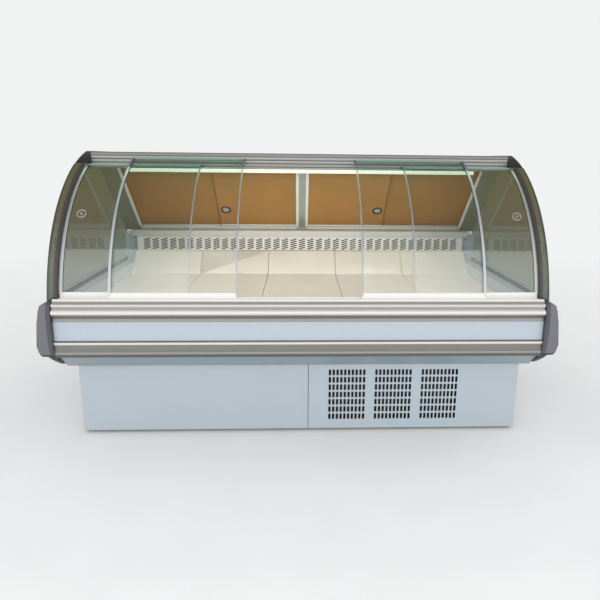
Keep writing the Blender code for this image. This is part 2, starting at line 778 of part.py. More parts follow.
def machinery():
    floor = PAN_TOP + FIT
    fan_x, fan_z, fan_r = 0.390, 0.172, 0.092
    box("condenser_coil", (0.120, 0.660), (0.150, 0.205), (floor, 0.292), FIN)
    ring = [(fan_x, fan_z, fan_r + 0.008)]
    shroud = holed_plate("condenser_shroud", (0.120, 0.660), (0.240, 0.244), (floor, 0.292), ring, ZINC)
    motor = cylinder("fan_motor", (fan_x, 0.278, fan_z), 0.032, 0.056, (pi / 2, 0, 0), DARK_PAINT, 20)
    stay = box("motor_stay", (fan_x - 0.008, fan_x + 0.008), (0.2425, 0.290), (0.052, 0.062), DARK_PAINT)
    strut_xs = (fan_x - 0.007, fan_x + 0.007)
    strut = box("motor_strut", strut_xs, (0.275, 0.288), (0.056, fan_z - 0.025), DARK_PAINT)
    united(shroud, motor, stay, strut)
    fan("condenser_fan", (fan_x, 0.242, fan_z), fan_r, 0.026, 5, 0.012, DARK_PAINT)

    shell = [
        (0.0, 0.178),
        (0.040, 0.174),
        (0.072, 0.156),
        (0.086, 0.128),
        (0.090, 0.090),
        (0.090, 0.040),
        (0.078, 0.016),
        (0.050, 0.002),
        (0.0, 0.002),
    ]
    plate = box("compressor", (0.270, 0.510), (0.470, 0.650), (floor, floor + 0.006), DARK_PAINT)
    place = (0.390, 0.560, floor + 0.0005)
    united(plate, turned("compressor_shell", shell, place, (0, 0, 0), DARK_PAINT, 20))

    box("evaporator_coil", (-0.600, 0.600), (0.660, 0.800), (CAVITY_FLOOR + 0.0016, 0.470), FIN)
    evap_fans = (-0.380, 0.380)
    evap_r = 0.060
    holes = [(x, 0.450, evap_r + 0.006) for x in evap_fans]
    plate_z = (CAVITY_FLOOR + 0.0016, 0.5430)
    plate = holed_plate("evaporator_fan_plate", (-0.900, 0.900), (0.585, 0.588), plate_z, holes, STEEL)
    for number, x in enumerate(evap_fans):
        fan(f"evaporator_fan_{number + 1}", (x, 0.5865, 0.450), evap_r, 0.018, 5, 0.010, DARK_PAINT)
        motor = cylinder("evap_motor", (x, 0.556, 0.450), 0.024, 0.048, (pi / 2, 0, 0), DARK_PAINT, 16)
        stay = box("evap_stay", (x - 0.006, x + 0.006), (0.545, 0.5865), (0.3750, 0.3810), DARK_PAINT)
        strut = box("evap_strut", (x - 0.005, x + 0.005), (0.547, 0.560), (0.3780, 0.4300), DARK_PAINT)
        united(plate, motor, stay, strut)


def controls():
    """The operator's box on the rear wall: a raised display, and two rocker switches in their recesses."""
    face = 1.020
    body = box("control_box", (0.480, 0.760), (TUB_REAR + FIT, face), (0.500, 0.610), BLACK_ABS)
    for x in SWITCHES.values():
        recess = box("recess", (x - 0.0115, x + 0.0115), (face - 0.018, face + 0.01), (0.538, 0.572), None)
        PARTS.objects.unlink(recess)
        CUTTERS.objects.link(recess)
        boolean(body, recess, "DIFFERENCE")
    bezel_d = (face - 0.002, face + 0.006)
    united(body, box("controller_bezel", (0.505, 0.582), bezel_d, (0.536, 0.572), DARK_PAINT))
    rocker = [
        (-0.0100, 0.0),
        (-0.0110, -0.0140),
        (0.0010, -0.0130),
        (0.0035, 0.0),
        (0.0010, 0.0130),
        (-0.0110, 0.0140),
    ]
    for name, x in SWITCHES.items():
        pivot = bpy.data.objects.new(name + "_pivot", None)
        pivot.location = (x, FRONT_Y + face - 0.001, 0.555)
        pivot.rotation_euler = (-SWITCH_TILT, 0, 0)
        PARTS.objects.link(pivot)
        outline(name, rocker, (-0.0100, 0.0100), BLACK_ABS, pivot)


def build():
    tub()
    deck()
    bumper()
    end_mouldings()
    front_glass()
    end_glass()
    end_frames()
    canopy()
    axes = bpy.data.objects.new("rear_frame_axes", None)
    axes.location = (0, FRONT_Y + REAR_D, REAR_Z)
    axes.rotation_euler = (REAR_LEAN, 0, 0)
    PARTS.objects.link(axes)
    rear_frame(axes)
    rear_doors(axes)
    base_panels()
    base_pan()
    machinery()
    controls()


build()
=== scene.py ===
"""Looks for the curved-glass dipping cabinet: materials, finer pieces, a camera and soft studio light.

Depths are written as d, measured backwards from the bumper panel's face, as in the model itself.
"""

from math import asin, cos, pi, radians, sin, tau

import bmesh
import bpy
from mathutils import Matrix, Vector


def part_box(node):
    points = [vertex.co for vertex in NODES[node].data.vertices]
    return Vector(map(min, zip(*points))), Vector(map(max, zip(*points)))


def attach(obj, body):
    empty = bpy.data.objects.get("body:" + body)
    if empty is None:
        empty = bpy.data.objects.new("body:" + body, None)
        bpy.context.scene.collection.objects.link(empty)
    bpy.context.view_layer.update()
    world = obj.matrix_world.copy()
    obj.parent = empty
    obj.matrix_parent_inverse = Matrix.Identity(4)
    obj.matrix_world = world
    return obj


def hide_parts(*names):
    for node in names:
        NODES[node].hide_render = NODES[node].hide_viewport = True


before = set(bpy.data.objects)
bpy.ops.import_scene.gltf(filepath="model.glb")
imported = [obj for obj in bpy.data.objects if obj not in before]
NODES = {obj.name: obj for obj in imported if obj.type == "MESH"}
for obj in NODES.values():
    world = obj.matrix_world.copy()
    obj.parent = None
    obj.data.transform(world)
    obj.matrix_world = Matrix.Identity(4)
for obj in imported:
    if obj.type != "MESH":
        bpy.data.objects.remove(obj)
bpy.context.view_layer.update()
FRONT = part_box("bumper_panel")[0].y
CABINET = "cabinet"
WELD, PLATE_WELD = 0.00001, 0.00002


def low(node):
    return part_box(node)[0]


def high(node):
    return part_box(node)[1]


def depths(node):
    return low(node).y - FRONT, high(node).y - FRONT


# ---------------------------------------------------------------- node helpers
def fill_ramp(node, stops):
    """Gives a colour ramp node its (position, colour) stops."""
    elements = node.color_ramp.elements
    while len(elements) < len(stops):
        elements.new(0.5)
    for element, (place, colour) in zip(elements, stops):
        element.position = place
        element.color = (*colour, 1)


class Tree:
    """A material's node tree with the few nodes that these finishes are made of."""

    def __init__(self, name):
        self.material = bpy.data.materials.new(name)
        self.material.use_nodes = True
        self.nodes = self.material.node_tree.nodes
        self.shader = self.nodes["Principled BSDF"]
        self.output = self.nodes["Material Output"]
        self.coordinates = self.add("ShaderNodeTexCoord").outputs["Object"]

    def add(self, kind, **settings):
        node = self.nodes.new(kind)
        for key, value in settings.items():
            setattr(node, key, value)
        return node

    def link(self, source, target):
        self.material.node_tree.links.new(source, target)

    def noise(self, scale, stretch=(1, 1, 1), detail=3.0):
        mapping = self.add("ShaderNodeMapping")
        mapping.inputs["Scale"].default_value = stretch
        self.link(self.coordinates, mapping.inputs["Vector"])
        noise = self.add("ShaderNodeTexNoise")
        noise.inputs["Scale"].default_value = scale
        noise.inputs["Detail"].default_value = detail
        self.link(mapping.outputs["Vector"], noise.inputs["Vector"])
        return noise.outputs["Fac"]

    def axis(self, name):
        split = self.add("ShaderNodeSeparateXYZ")
        self.link(self.coordinates, split.inputs["Vector"])
        return split.outputs[name]

    def spread(self, source, start, end, to_start, to_end):
        node = self.add("ShaderNodeMapRange")
        for key, value in zip(("From Min", "From Max", "To Min", "To Max"), (start, end, to_start, to_end)):
            node.inputs[key].default_value = value
        self.link(source, node.inputs["Value"])
        return node.outputs["Result"]

    def ramp(self, source, stops, interpolation="LINEAR"):
        """A colour that runs through (position, colour) stops as the source rises."""
        node = self.add("ShaderNodeValToRGB")
        node.color_ramp.interpolation = interpolation
        fill_ramp(node, stops)
        self.link(source, node.inputs["Fac"])
        return node.outputs["Color"]

    def mix(self, factor, first, second, blend="MIX"):
        node = self.add("ShaderNodeMix", data_type="RGBA", blend_type=blend)
        sockets = (node.inputs["Factor"], node.inputs[6], node.inputs[7])
        for socket, value in zip(sockets, (factor, first, second)):
            if isinstance(value, (int, float)):
                socket.default_value = value
            elif isinstance(value, tuple):
                socket.default_value = (*value, 1)
            else:
                self.link(value, socket)
        return node.outputs[2]

    def paint(self, source):
        self.link(source, self.shader.inputs["Base Color"])

    def roughen(self, source, lowest, highest):
        """Roughness that follows the middle of a noise's range."""
        self.link(self.spread(source, 0.3, 0.7, lowest, highest), self.shader.inputs["Roughness"])

    def bump(self, source, strength, distance):
        node = self.add("ShaderNodeBump")
        node.inputs["Strength"].default_value = strength
        node.inputs["Distance"].default_value = distance
        self.link(source, node.inputs["Height"])
        self.link(node.outputs["Normal"], self.shader.inputs["Normal"])

    def set(self, **values):
        for key, value in values.items():
            name = key.replace("_", " ").title().replace("Ior", "IOR")
            self.shader.inputs[name].default_value = value


def shade(colour, factor):
    return tuple(min(1.0, channel * factor) for channel in colour)


def finish(name, colour, roughness, metallic=0.0, vary=0.05, grain=60.0, stretch=(1, 1, 1), bump=0.0, **more):
    """A solid finish: its colour and roughness drift a little, over a fine grain."""
    tree = Tree(name)
    tree.set(metallic=metallic, **more)
    cloud = tree.noise(2.5, (1, 1, 1), 4.0)
    grain_out = tree.noise(grain, stretch)
    tone = tree.mix(0.5, cloud, grain_out)
    tree.paint(tree.ramp(tone, [(0.3, shade(colour, 1 - vary)), (0.7, shade(colour, 1 + vary))]))
    tree.roughen(grain_out, roughness * 0.85, roughness * 1.15)
    if bump:
        tree.bump(grain_out, bump, 0.0005)
    return tree


# ---------------------------------------------------------------- materials
BRUSHED = (0.4, 60, 60)


def banded(name, colour, roughness, bands, node):
    """Anodised aluminium with painted shade in its grooves and painted highlights on its ribs and beads:
    bands are (height above the node's foot, brightness).
    """
    tree = Tree(name)
    tree.set(metallic=0.25)
    foot, top = low(node).z, high(node).z
    stops = [(height / (top - foot), (level, level, level * 0.985)) for height, level in bands]
    level = tree.ramp(tree.spread(tree.axis("Z"), foot, top, 0.0, 1.0), stops)
    lines = tree.noise(40.0, BRUSHED, 2.0)
    streaks = tree.ramp(lines, [(0.3, shade(colour, 0.93)), (0.7, colour)])
    tree.paint(tree.mix(1.0, streaks, level, "MULTIPLY"))
    tree.roughen(lines, roughness * 0.85, roughness * 1.2)
    tree.bump(lines, 0.08, 0.0003)
    return tree.material


ALUMINIUM = finish("aluminium", (0.68, 0.67, 0.64), 0.34, 0.35, 0.04, 40.0, BRUSHED, 0.06).material
# A paler copy of the aluminium, as painted highlight, for the glass track and the pane feet.
HIGHLIGHT_ALUMINIUM = finish("aluminium_painted_highlight", (0.90, 0.885, 0.86), 0.36, 0.15, 0.03, 40.0, BRUSHED, 0.05).material
# Painted light up the upper rail: painted highlights on the lip, the rib and the bead, painted shade under
# the lip and in the groove under the bead, a mid tone on the flat bands.
UPPER_PAINTED_LIGHT = [
    (0.0, 0.44), (0.0120, 0.44), (0.0140, 0.22), (0.0265, 0.25), (0.0325, 0.62), (0.0360, 0.96),
    (0.0490, 1.0), (0.0512, 0.44), (0.0595, 0.47), (0.0612, 0.82), (0.0712, 0.86), (0.0726, 0.44),
    (0.0806, 0.46), (0.0818, 0.94), (0.0889, 0.98),
]
BUMPER_TOP = banded("bumper_aluminium", (0.84, 0.82, 0.79), 0.34, UPPER_PAINTED_LIGHT, "bumper_upper_rail")
# Painted light down the lower rail: painted shade along its foot and a painted shade line at its top edge, a
# painted highlight on its lip and a paler painted line above its foot, a darker flat face that paints the
# dark floor's reflection.
LOWER_PAINTED_LIGHT = [
    (0.0, 0.15), (0.0130, 0.18), (0.0155, 0.44), (0.0215, 0.44), (0.0240, 0.26), (0.0530, 0.31),
    (0.0550, 0.98), (0.0635, 1.0), (0.0655, 0.22), (0.0690, 0.22),
]
BUMPER_LOW = banded("lower_aluminium", (0.80, 0.785, 0.745), 0.38, LOWER_PAINTED_LIGHT, "bumper_lower_rail")
BUMPER_PANEL = finish("bumper_panel_film", (0.50, 0.56, 0.635), 0.28, 0.0, 0.008, 400.0,
                      coat_weight=0.3, coat_roughness=0.15).material


def painted(name, colour, underside_shade):
    """Satin paint with a fine orange-peel grain, and painted shade where a face looks down."""
    tree = finish(name, colour, 0.34, 0.0, 0.025, 240.0, bump=0.05, coat_weight=0.25, coat_roughness=0.12)
    base = tree.shader.inputs["Base Color"]
    facing = tree.add("ShaderNodeSeparateXYZ")
    tree.link(tree.add("ShaderNodeNewGeometry").outputs["True Normal"], facing.inputs["Vector"])
    # Painted shade: faces that look down are multiplied by the darker underside colour.
    height = tree.spread(facing.outputs["Z"], -0.8, -0.2, 0.0, 1.0)
    painted_underside_shade = tree.ramp(height, [(0.0, underside_shade), (1.0, (1, 1, 1))])
    tree.link(tree.mix(1.0, base.links[0].from_socket, painted_underside_shade, "MULTIPLY"), base)
    return tree.material


# The second colour is the painted shade on faces that look down.
PAINT = painted("cabinet_paint", (0.455, 0.52, 0.57), (0.55, 0.60, 0.58))
GREY = finish("grey_moulding", (0.165, 0.165, 0.185), 0.46, 0.0, 0.05, 400.0, bump=0.15).material
# Darker grey for the mouldings' front strip, and painted shade on their inward faces.
GREY_STRIP_AND_SHADE = finish("grey_moulding_strip_and_shade", (0.085, 0.085, 0.098), 0.50, 0.0, 0.05, 400.0, bump=0.15).material
BLACK = finish("black_moulding", (0.018, 0.017, 0.019), 0.38, 0.0, 0.15, 300.0, bump=0.10).material
POST = finish("post_grey_brown", (0.060, 0.058, 0.056), 0.42, 0.0, 0.10, 300.0, bump=0.10).material
RUBBER = finish("black_rubber", (0.022, 0.022, 0.024), 0.62, 0.0, 0.12, 500.0, bump=0.12).material
WHITE = finish("white_pvc", (0.91, 0.93, 0.88), 0.38, 0.0, 0.03, 120.0, bump=0.04).material
LOUVRE = finish("louvre_plastic", (0.86, 0.845, 0.80), 0.42, 0.0, 0.04, 150.0, bump=0.04).material
JAMB = finish("jamb_olive", (0.40, 0.41, 0.30), 0.36, 0.5, 0.08, 30.0, BRUSHED).material
MULLION = finish("mullion_grey", (0.42, 0.48, 0.46), 0.34, 0.5, 0.08, 30.0).material
ZINC = finish("zinc_plate", (0.62, 0.63, 0.63), 0.38, 0.85, 0.10, 22.0, bump=0.03).material
DARK_STEEL = finish("compressor_black", (0.022, 0.022, 0.024), 0.36, 0.2, 0.12, 90.0, bump=0.05).material


def pane_strip(name, tone):
    """Edge trim whose colour is painted light: pale at its foot, greyer higher up, a painted green glow where
    the lamp lights it, painted shade where it runs into the canopy.
    """
    tree = Tree(name)
    foot, top = 0.62, 1.155
    # Painted light up the strip, by height: paler low down, greyer above, the lamp's painted glow, painted
    # shade in the canopy.
    stops = [
        (0.62, (0.66, 0.67, 0.68)), (0.80, (0.52, 0.55, 0.57)), (0.95, (0.34, 0.38, 0.40)),
        (1.06, (0.36, 0.43, 0.40)), (1.10, (0.52, 0.70, 0.59)), (1.112, (0.42, 0.56, 0.48)),
        (1.119, (0.17, 0.16, 0.19)), (1.155, (0.15, 0.145, 0.17)),
    ]
    stops = [((z - foot) / (top - foot), shade(colour, tone)) for z, colour in stops]
    colour = tree.ramp(tree.spread(tree.axis("Z"), foot, top, 0.0, 1.0), stops)
    grain = tree.noise(40.0, (60, 1, 1))
    lines = tree.ramp(grain, [(0.3, (0.94, 0.94, 0.94)), (0.7, (1.0, 1.0, 1.0))])
    tree.paint(tree.mix(1.0, colour, lines, "MULTIPLY"))
    tree.roughen(grain, 0.26, 0.36)
    return tree.material


EDGE = pane_strip("pane_edge_strip", 0.95)
EDGE_THIN = pane_strip("pane_edge_line", 0.80)
EDGE_DOOR = finish("door_edge", (0.16, 0.12, 0.10), 0.40, 0.0, 0.06, 40.0).material
RING = finish("pane_pull_ring", (0.44, 0.41, 0.39), 0.30, 0.3, 0.06, 300.0).material
CLEAR = finish("pane_pull_cup", (0.34, 0.34, 0.33), 0.18, 0.0, 0.06, 300.0).material
PULL = finish("pull_ring", (0.07, 0.068, 0.07), 0.28, 0.6, 0.10, 200.0).material
PULL_CUP = finish("pull_cup", (0.50, 0.50, 0.49), 0.25, 0.8, 0.05, 200.0).material
SWITCH_GREEN = finish("rocker_green", (0.035, 0.20, 0.060), 0.25, 0.0, 0.08, 200.0).material
SWITCH_RED = finish("rocker_red", (0.34, 0.028, 0.020), 0.25, 0.0, 0.08, 200.0).material
DISPLAY = finish("display_window", (0.055, 0.012, 0.012), 0.08, 0.0, 0.10, 40.0,
                 coat_weight=0.6, coat_roughness=0.03).material
# A dark sheet that paints the shade behind the louvre's slots.
LOUVRE_SHADE_SHEET = finish("louvre_shadow", (0.13, 0.115, 0.10), 0.60, 0.0, 0.10, 80.0).material


def stainless():
    """Brushed sheet in a warm cream that is painted reflection: soft streaks, and slow waves where the sheet
    isn't quite flat, which bend the surface and move the painted reflection lighter and darker.
    """
    tree = Tree("stainless_film")
    tree.set(metallic=0.30)
    streaks = tree.noise(26.0, (60, 0.6, 0.6), 2.0)
    waves = tree.noise(3.2, (1.0, 1.4, 1.0), 2.0)
    # Painted reflection: the warm cream tones, lighter and darker with the slow waves.
    painted_reflection_tones = [(0.30, (0.80, 0.755, 0.65)), (0.70, (0.90, 0.865, 0.785))]
    tree.paint(tree.ramp(tree.mix(0.35, waves, streaks), painted_reflection_tones))
    tree.roughen(streaks, 0.34, 0.46)
    tree.bump(waves, 0.35, 0.004)
    return tree.material


def door_panel():
    """Brown panel, a little darker near its top, with a fibrous mottle."""
    tree = Tree("brown_door_panel")
    tree.set(specular_ior_level=0.35)
    foot, top = low("rear_door_inner_left").z, high("rear_door_inner_left").z
    rise = tree.spread(tree.axis("Z"), foot, top, 0.0, 1.0)
    browns = [(0.0, (0.47, 0.245, 0.078)), (0.45, (0.46, 0.240, 0.073)), (1.0, (0.41, 0.240, 0.082))]
    base = tree.ramp(rise, browns)
    fibre = tree.noise(170.0, (1, 1, 1), 5.0)
    cloud = tree.noise(5.0, (1, 1, 1), 3.0)
    tone = tree.ramp(tree.mix(0.5, fibre, cloud), [(0.3, (0.86, 0.86, 0.86)), (0.7, (1.12, 1.12, 1.12))])
    tree.paint(tree.mix(1.0, base, tone, "MULTIPLY"))
    tree.roughen(cloud, 0.42, 0.60)
    tree.bump(fibre, 0.10, 0.0004)
    return tree.material


def coil():
    """Upright fins: painted shade in the thin gaps between them, at an even pitch."""
    tree = Tree("coil_fins")
    tree.set(metallic=0.3, roughness=0.55)
    wave = tree.add("ShaderNodeTexWave", wave_type="BANDS", bands_direction="X")
    wave.inputs["Scale"].default_value = 90.0
    wave.inputs["Distortion"].default_value = 0.15
    tree.link(tree.coordinates, wave.inputs["Vector"])
    # Painted shade: the darkest bands stand for the gaps between fins.
    tree.paint(tree.ramp(wave.outputs["Fac"], [(0.2, (0.010, 0.010, 0.013)), (0.6, (0.055, 0.055, 0.062))]))
    tree.bump(wave.outputs["Fac"], 0.5, 0.002)
    return tree.material


def lamp_glow():
    """A lit tube: bright in its middle, a little warmer and dimmer towards its ends."""
    tree = Tree("lamp_glow")
    reach = high("lamp_tube").x
    along = tree.add("ShaderNodeMath", operation="ABSOLUTE")
    tree.link(tree.axis("X"), along.inputs[0])
    share = tree.spread(along.outputs[0], 0.0, reach, 0.0, 1.0)
    colour = tree.ramp(share, [(0.0, (0.86, 0.93, 0.78)), (1.0, (0.74, 0.84, 0.68))])
    tree.paint(colour)
    tree.link(colour, tree.shader.inputs["Emission Color"])
    tree.set(emission_strength=0.7, roughness=0.4)
    return tree.material


def glass(name, stops, node, gloss=0.034):
    """Thin glass: what is behind shows through a colour that changes up the pane (on the end glasses a
    painted reflection of dark surroundings), and the rest is a mirror whose share grows at grazing angles."""
    tree = Tree(name)
    tree.set(roughness=0.02, metallic=1.0)
    foot, top = low(node).z, high(node).z
    rise = tree.spread(tree.axis("Z"), foot, top, 0.0, 1.0)
    # A faint mottle up the glass, which on the end glasses paints patchy reflections.
    drift = tree.mix(0.04, rise, tree.noise(3.0, (1, 1, 1), 2.0))
    clear = tree.add("ShaderNodeBsdfTransparent")
    tree.link(tree.ramp(drift, stops), clear.inputs["Color"])
    tree.paint(tree.ramp(drift, [(0.0, (0.99, 1.0, 1.0)), (1.0, (0.88, 0.97, 0.92))]))
    facing = tree.add("ShaderNodeLayerWeight")
    facing.inputs["Blend"].default_value = 0.5
    graze = tree.add("ShaderNodeMath", operation="POWER")
    graze.inputs[1].default_value = 5.0
    tree.link(facing.outputs["Facing"], graze.inputs[0])
    share = tree.spread(graze.outputs[0], 0.0, 1.0, gloss, 1.0)
    blend = tree.add("ShaderNodeMixShader")
    tree.link(share, blend.inputs[0])
    tree.link(clear.outputs[0], blend.inputs[1])
    tree.link(tree.shader.outputs[0], blend.inputs[2])
    tree.link(blend.outputs[0], tree.output.inputs["Surface"])
    return tree.material


STAINLESS = stainless()
DOOR = door_panel()
COIL = coil()
GLOW = lamp_glow()
PANE_TINT = [
    (0.0, (0.985, 0.995, 0.990)), (0.82, (0.985, 0.993, 0.985)), (0.93, (0.94, 0.975, 0.955)),
    (1.0, (0.88, 0.965, 0.92)),
]
PANE_GLASS = glass("pane_glass", PANE_TINT, "pane_outer_left_glass")
# Painted reflection on the end glasses: the dark surroundings, greener low down, darker and browner higher
# up.
END_PAINTED_REFLECTION = [(0.0, (0.44, 0.49, 0.45)), (0.45, (0.41, 0.40, 0.33)), (1.0, (0.40, 0.38, 0.25))]
END_GLASS = glass("end_glass_painted_reflection", END_PAINTED_REFLECTION, "end_glass_left")
PANE_RIM = finish("pane_cut_edge", (0.22, 0.36, 0.29), 0.22, 0.0, 0.08, 60.0).material
END_RIM = finish("end_glass_cut_edge", (0.045, 0.075, 0.058), 0.22, 0.0, 0.08, 60.0).material

LOOKS = {
    "bumper_panel": BUMPER_PANEL,
    "insulated_tub": PAINT,
    "inner_liner": STAINLESS,
    "rear_ledge": ALUMINIUM,
    "service_worktop": STAINLESS,
    "front_glass_track": HIGHLIGHT_ALUMINIUM,
    "canopy_cover": PAINT,
    "lamp_housing": WHITE,
    "lamp_tube": GLOW,
    "rear_track_bottom": ALUMINIUM,
    "rear_track_top": ALUMINIUM,
    "condenser_coil": COIL,
    "evaporator_coil": COIL,
    "condenser_shroud": ZINC,
    "base_pan": ZINC,
    "condenser_fan": BLACK,
    "evaporator_fan_1": BLACK,
    "evaporator_fan_2": BLACK,
    "evaporator_fan_plate": STAINLESS,
    "compressor": DARK_STEEL,
    "control_box": BLACK,
    "lamp_switch": SWITCH_GREEN,
    "power_switch": SWITCH_RED,
}
for side in ("left", "right"):
    LOOKS[f"rear_door_inner_{side}"] = DOOR
    LOOKS[f"rear_door_outer_{side}"] = DOOR
    LOOKS[f"base_side_{side}"] = PAINT
    LOOKS[f"end_moulding_{side}"] = GREY
for panel in ("front", "rear", "grille"):
    LOOKS[f"base_{panel}_panel"] = PAINT
for pan in range(1, 6):
    LOOKS[f"deck_pan_{pan}"] = STAINLESS


def dress_cad():
    """Gives every CAD node its finish, and softens its edges."""
    for name, node in NODES.items():
        node.data.materials.clear()
        node.data.materials.append(LOOKS.get(name, ALUMINIUM))
        weld = node.modifiers.new("weld", "WELD")
        weld.merge_threshold = PLATE_WELD
        edge = node.modifiers.new("soft_edges", "BEVEL")
        edge.width = 0.0004 if "deck_pan" in name or "panel" in name else 0.0012
        edge.segments = 2
        edge.limit_method = "ANGLE"
        edge.angle_limit = radians(40)
        edge.use_clamp_overlap = True


# ---------------------------------------------------------------- mesh helpers
def new_object(name, shape, materials, body=CABINET, sharp=35.0, stands_for=()):
    """An object from a bmesh, which rides on a body and may stand for CAD nodes."""
    data = bpy.data.meshes.new(name)
    bmesh.ops.recalc_face_normals(shape, faces=shape.faces)
    shape.to_mesh(data)
    shape.free()
    made = bpy.data.objects.new(name, data)
    bpy.context.scene.collection.objects.link(made)
    for material in materials if isinstance(materials, (list, tuple)) else [materials]:
        data.materials.append(material)
    data.shade_smooth()
    data.set_sharp_from_angle(angle=radians(sharp))
    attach(made, body)
    if stands_for:
        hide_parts(*stands_for)
    return made


def rounded(points, radius, steps=3):
    """A closed outline with each corner turned into an arc, as large as its two sides allow."""
    made = []
    count = len(points)
    for i, corner in enumerate(points):
        here = Vector(corner)
        before, after = Vector(points[i - 1]) - here, Vector(points[(i + 1) % count]) - here
        reach = min(radius, before.length * 0.45, after.length * 0.45)
        start, end = here + before.normalized() * reach, here + after.normalized() * reach
        for step in range(steps + 1):
            t = step / steps
            made.append(tuple(start.lerp(here, t).lerp(here.lerp(end, t), t)))
    return made


def loft(shape, rings, index=0):
    """Joins rings of as many vertices each, and closes both ends."""
    for first, second in zip(rings, rings[1:]):
        for i in range(len(first)):
            j = (i + 1) % len(first)
            shape.faces.new((first[i], first[j], second[j], second[i])).material_index = index
    shape.faces.new(rings[0]).material_index = index
    shape.faces.new(rings[-1][::-1]).material_index = index


def extrude(shape, points, xs, place=None, index=0):
    """Adds to a bmesh a closed outline of (d, z) carried along X. place turns (x, d, z) into a point."""
    place = place or (lambda x, d, z: Vector((x, FRONT + d, z)))
    loft(shape, [[shape.verts.new(place(x, d, z)) for d, z in points] for x in xs], index)


def profile(name, points, xs, materials, radius=0.0, **more):
    """An object extruded along X from one outline, with its corners rounded."""
    shape = bmesh.new()
    extrude(shape, rounded(points, radius) if radius else points, xs)
    return new_object(name, shape, materials, **more)


def block(shape, lows, highs, round_by=0.0, place=None, index=0):
    """Adds a box with rounded long edges, along X, to a bmesh: corners are (x, d, z)."""
    outline = [(lows[1], lows[2]), (highs[1], lows[2]), (highs[1], highs[2]), (lows[1], highs[2])]
    extrude(shape, rounded(outline, round_by) if round_by else outline, (lows[0], highs[0]), place, index)


def turned(shape, outline, segments, place, index=0):
    """Adds a turned form to a bmesh: outline is (radius, height) and place maps (x, y, height) to a point."""
    rings = []
    for radius, height in outline:
        if radius == 0:
            rings.append([shape.verts.new(place(0, 0, height))])
        else:
            angles = [tau * i / segments for i in range(segments)]
            rings.append([shape.verts.new(place(radius * cos(a), radius * sin(a), height)) for a in angles])
    for first, second in zip(rings, rings[1:]):
        for i in range(segments):
            j = (i + 1) % segments
            near, far = len(first), len(second)
            unique = list(dict.fromkeys((first[i % near], first[j % near], second[j % far], second[i % far])))
            if len(unique) > 2:
                shape.faces.new(unique).material_index = index


def soften(shape, sharper_than, offset, segments):
    """Bevels a bmesh's edges that turn by more than an angle."""
    edges = [e for e in shape.edges if len(e.link_faces) == 2 and e.calc_face_angle(0) > sharper_than]
    bmesh.ops.bevel(shape, geom=edges, offset=offset, segments=segments, affect="EDGES")


def perforated(name, outer, holes, thickness, place, materials, stands_for):
    """A flat plate with holes, from a filled 2-D curve. outer and holes are lists of (x, z)."""
    data = bpy.data.curves.new(name, "CURVE")
    data.dimensions = "2D"
    data.fill_mode = "BOTH"
    data.extrude = thickness / 2
    for loop in [outer] + holes:
        line = data.splines.new("POLY")
        line.points.add(len(loop) - 1)
        for point, (x, z) in zip(line.points, loop):
            point.co = (x, z, 0, 1)
        line.use_cyclic_u = True
    curve = bpy.data.objects.new(name + "_curve", data)
    curve.matrix_world = Matrix.Translation(place) @ Matrix.Rotation(pi / 2, 4, "X")
    bpy.context.scene.collection.objects.link(curve)
    bpy.context.view_layer.update()
    mesh = bpy.data.meshes.new_from_object(curve.evaluated_get(bpy.context.evaluated_depsgraph_get()))
    mesh.transform(curve.matrix_world)
    bpy.data.objects.remove(curve)
    shape = bmesh.new()
    shape.from_mesh(mesh)
    bmesh.ops.remove_doubles(shape, verts=shape.verts, dist=PLATE_WELD)
    return new_object(name, shape, materials, stands_for=stands_for)


# ---------------------------------------------------------------- the glass's curve
ARC_D, ARC_Z, ARC_R, ARC_TAPER, ARC_STEPS = 0.720, 0.515, 0.711, 0.0118, 40
PANE_PITCH = 0.013
GLASS = 0.006
FOOT_LAP = 0.0023
PULL_X, PULL_Z = 0.894, 0.932


def arc_angle(proud, z):
    """The angle at which the curve, moved outwards by proud, reaches a height."""
    angle = 0.0
    for _ in range(20):
        angle = asin((z - ARC_Z) / (ARC_R + proud - ARC_TAPER * angle))
    return angle


def arc_points(proud, low_z, high_z, steps=ARC_STEPS):
    """The glass's curve moved outwards by proud, from the angle of one height to that of another."""
    first, last = arc_angle(proud, low_z), arc_angle(proud, high_z)
    points = []
    for i in range(steps + 1):
        angle = first + (last - first) * i / steps
        reach = ARC_R + proud - ARC_TAPER * angle
        points.append((ARC_D - reach * cos(angle), ARC_Z + reach * sin(angle)))
    return points


def arc_bar(proud, thickness, low_z, high_z):
    """The outline of a curved sheet or bar of one thickness."""
    outer = arc_points(proud, low_z, high_z)
    centre = Vector((ARC_D, ARC_Z))
    inner = [tuple(Vector(p) + (centre - Vector(p)).normalized() * thickness) for p in outer]
    return outer + inner[::-1]


# ---------------------------------------------------------------- bumper
def bumper():
    """The bumper's two ribbed rails."""
    left, right = low("bumper_panel").x, high("bumper_panel").x
    back = 0.0115
    upper = [
        (0.0165, 0.6165), (0.0060, 0.6165), (0.0050, 0.6070), (0.0015, 0.6038), (-0.0060, 0.6018),
        (-0.0092, 0.5990), (-0.0095, 0.5935), (-0.0078, 0.5890), (-0.0058, 0.5873),
        (-0.0058, 0.5783), (-0.0120, 0.5764), (-0.0172, 0.5722), (-0.0187, 0.5670),
        (-0.0172, 0.5615), (-0.0120, 0.5545), (-0.0060, 0.5465), (-0.0030, 0.5410),
        (-0.0030, 0.5292), (-0.0012, 0.5276), (back, 0.5276), (back, 0.6004), (0.0165, 0.6004),
    ]
    lower = [
        (back, 0.4490), (-0.0030, 0.4490), (-0.0072, 0.4468), (-0.0082, 0.4410), (-0.0068, 0.4350),
        (-0.0032, 0.4335), (-0.0032, 0.4030), (-0.0050, 0.4012), (-0.0050, 0.3960),
        (-0.0030, 0.3940), (0.0005, 0.3801), (back, 0.3801),
    ]
    xs = (left + 0.003, right - 0.003)
    profile("upper_rail_fine", upper, xs, BUMPER_TOP, 0.0022, stands_for=["bumper_upper_rail"])
    profile("lower_rail_fine", lower, (left, right), BUMPER_LOW, 0.0016, stands_for=["bumper_lower_rail"])


